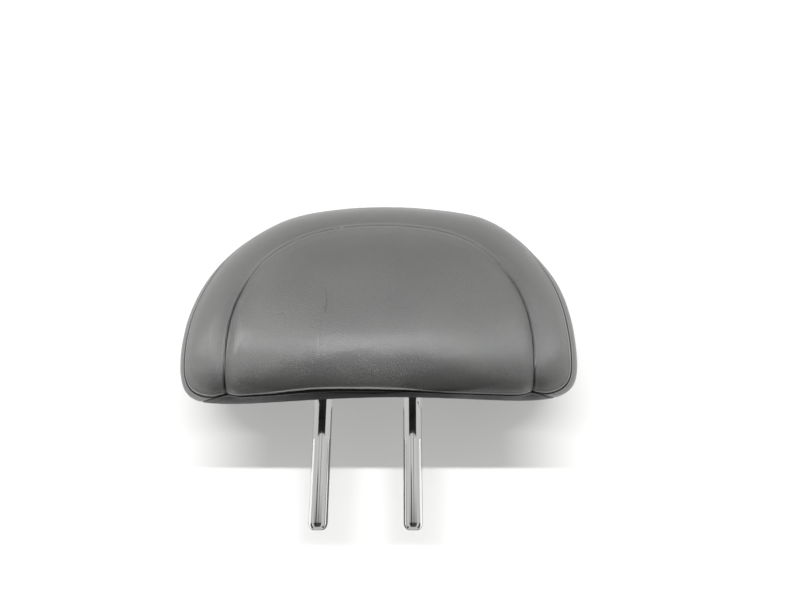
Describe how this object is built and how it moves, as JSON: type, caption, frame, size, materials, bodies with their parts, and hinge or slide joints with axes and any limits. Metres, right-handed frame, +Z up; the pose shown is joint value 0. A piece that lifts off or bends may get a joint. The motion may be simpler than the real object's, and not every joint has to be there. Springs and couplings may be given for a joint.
{
  "type": "car headrest",
  "caption": "Half-moon leather headrest pad on a short bent chrome post frame, with a crowned front panel, a sewn border round it and a rising underside.",
  "frame": {"origin": "midway between the two post ends, level with their flat end faces", "axes": "+Z up along the posts into the pad, -Y towards the front that meets the head, +X to the right seen from the front"},
  "size_m": [0.28, 0.1227, 0.231],
  "materials": {
    "chrome": "polished",
    "black_plastic": "matte",
    "zinc_steel": "satin",
    "foam": "matte",
    "grey_leather": "satin",
    "underside_leather": "satin"
  },
  "bodies": {
    "root": {"post_frame": "chrome", "carrier_front": "black_plastic", "carrier_rear": "black_plastic", "post_collar_left": "black_plastic", "post_collar_right": "black_plastic", "closure_strip_front": "black_plastic", "closure_strip_rear": "black_plastic", "carrier_screw_1": "zinc_steel", "carrier_screw_2": "zinc_steel", "carrier_screw_3": "zinc_steel", "carrier_screw_4": "zinc_steel", "foam_core": "foam", "front_centre_panel": "grey_leather", "front_border_panel": "grey_leather", "side_band": "grey_leather", "back_panel": "grey_leather", "underside_front_flap": "underside_leather", "underside_rear_flap": "underside_leather"}
  },
  "joints": []
}
